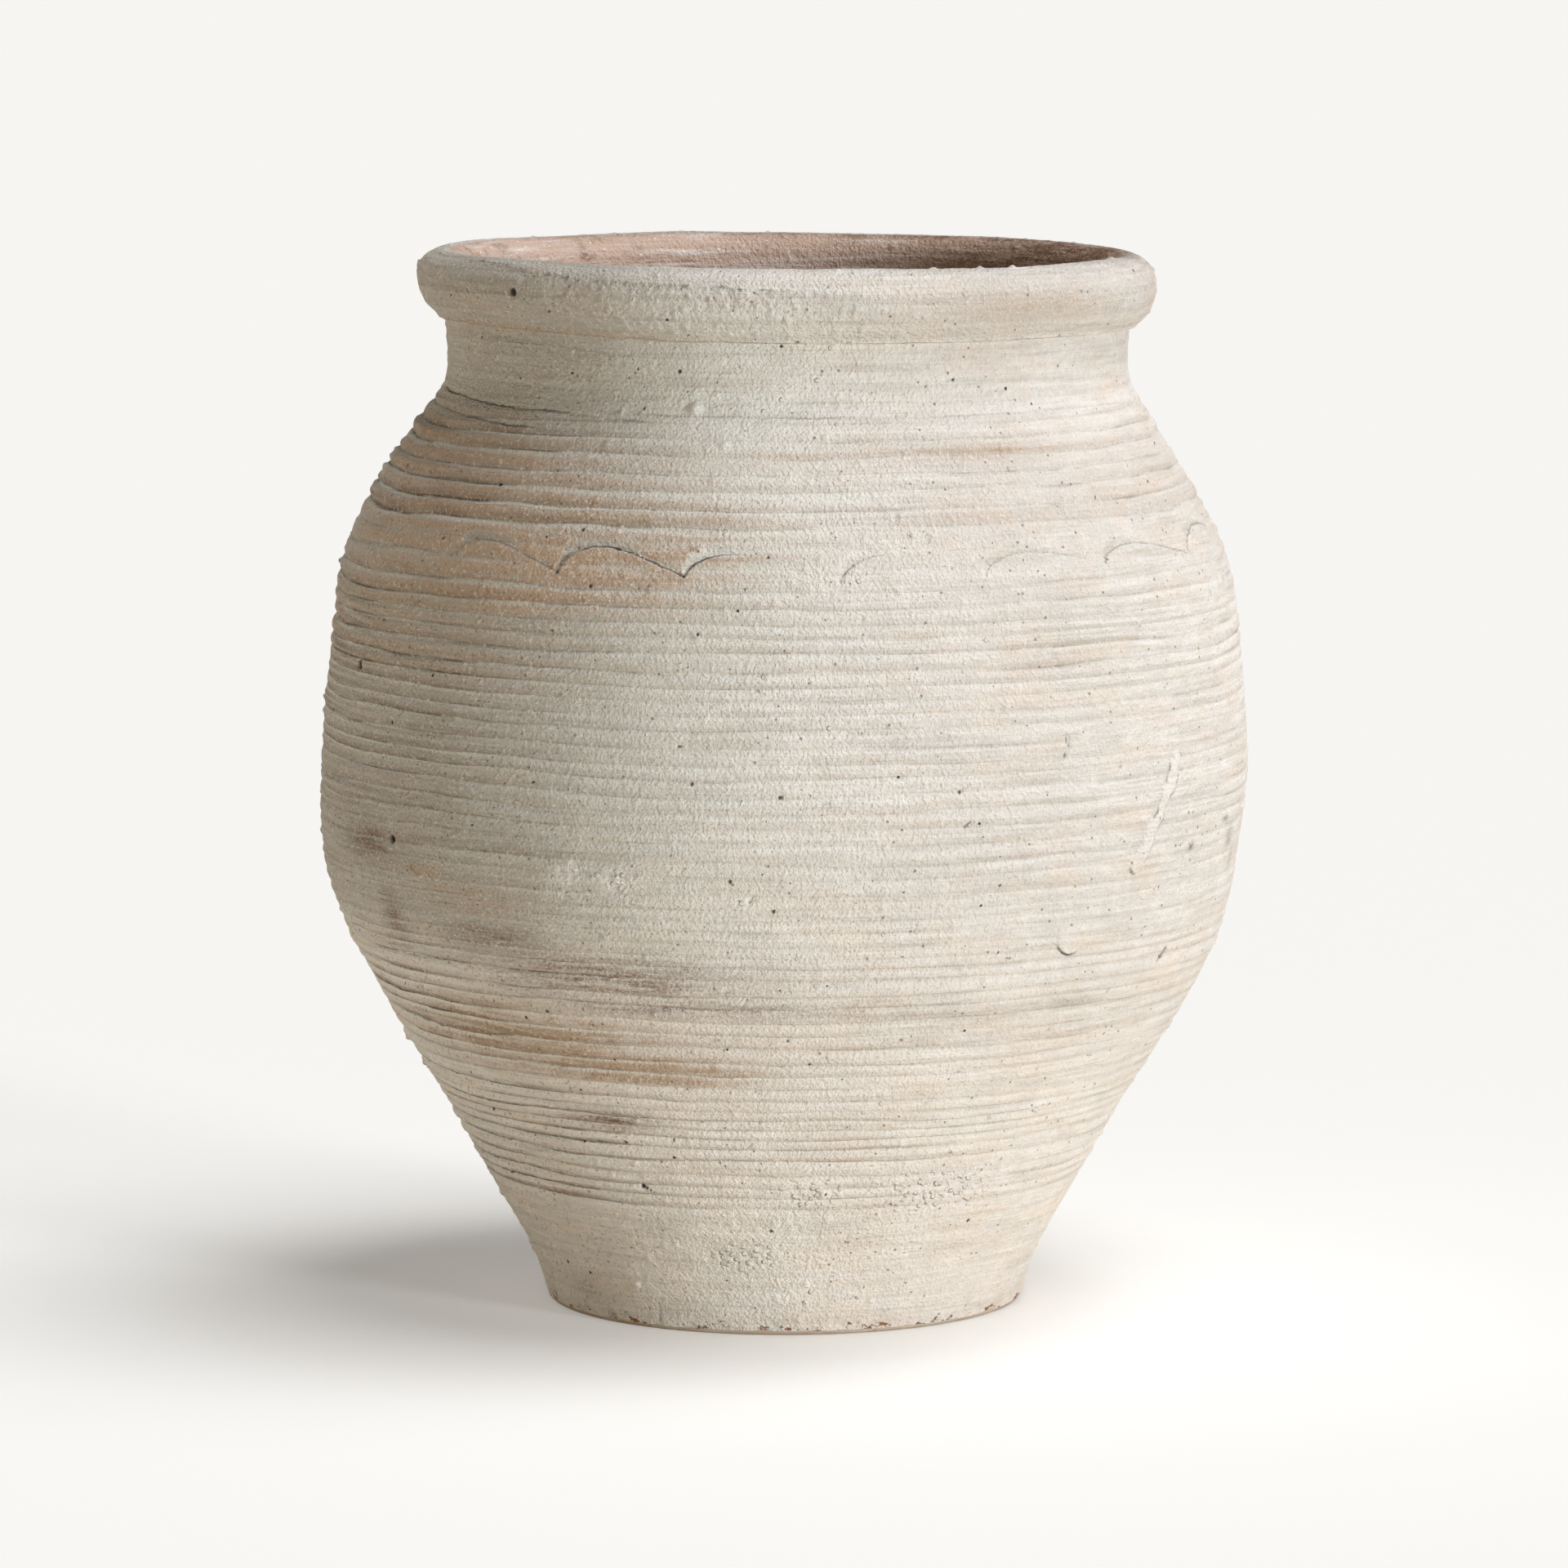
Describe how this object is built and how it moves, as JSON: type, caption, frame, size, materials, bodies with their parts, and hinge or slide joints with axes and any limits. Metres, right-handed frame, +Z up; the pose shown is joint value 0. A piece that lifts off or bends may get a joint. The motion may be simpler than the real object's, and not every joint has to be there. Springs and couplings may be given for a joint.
{
  "type": "clay vase",
  "caption": "Large hand-thrown clay floor vase with a wide rolled rim, ridged round belly and narrow foot, for holding stems or standing empty.",
  "frame": {"origin": "centre of the base, on the surface that the vase stands on", "axes": "+Z up along the vase's axis through the mouth, -Y towards the camera of the picture"},
  "size_m": [0.4596, 0.4596, 0.52],
  "materials": {
    "limewashed_clay": "matt, sandy limewash over fired clay",
    "bare_clay": "matt, bare fired clay"
  },
  "bodies": {
    "root": {"base_slab": "bare_clay", "foot_wall": "limewashed_clay", "lower_wall": "limewashed_clay", "belly_wall": "limewashed_clay", "shoulder_wall": "limewashed_clay", "neck_collar": "limewashed_clay", "rim_roll": "limewashed_clay"}
  },
  "joints": []
}
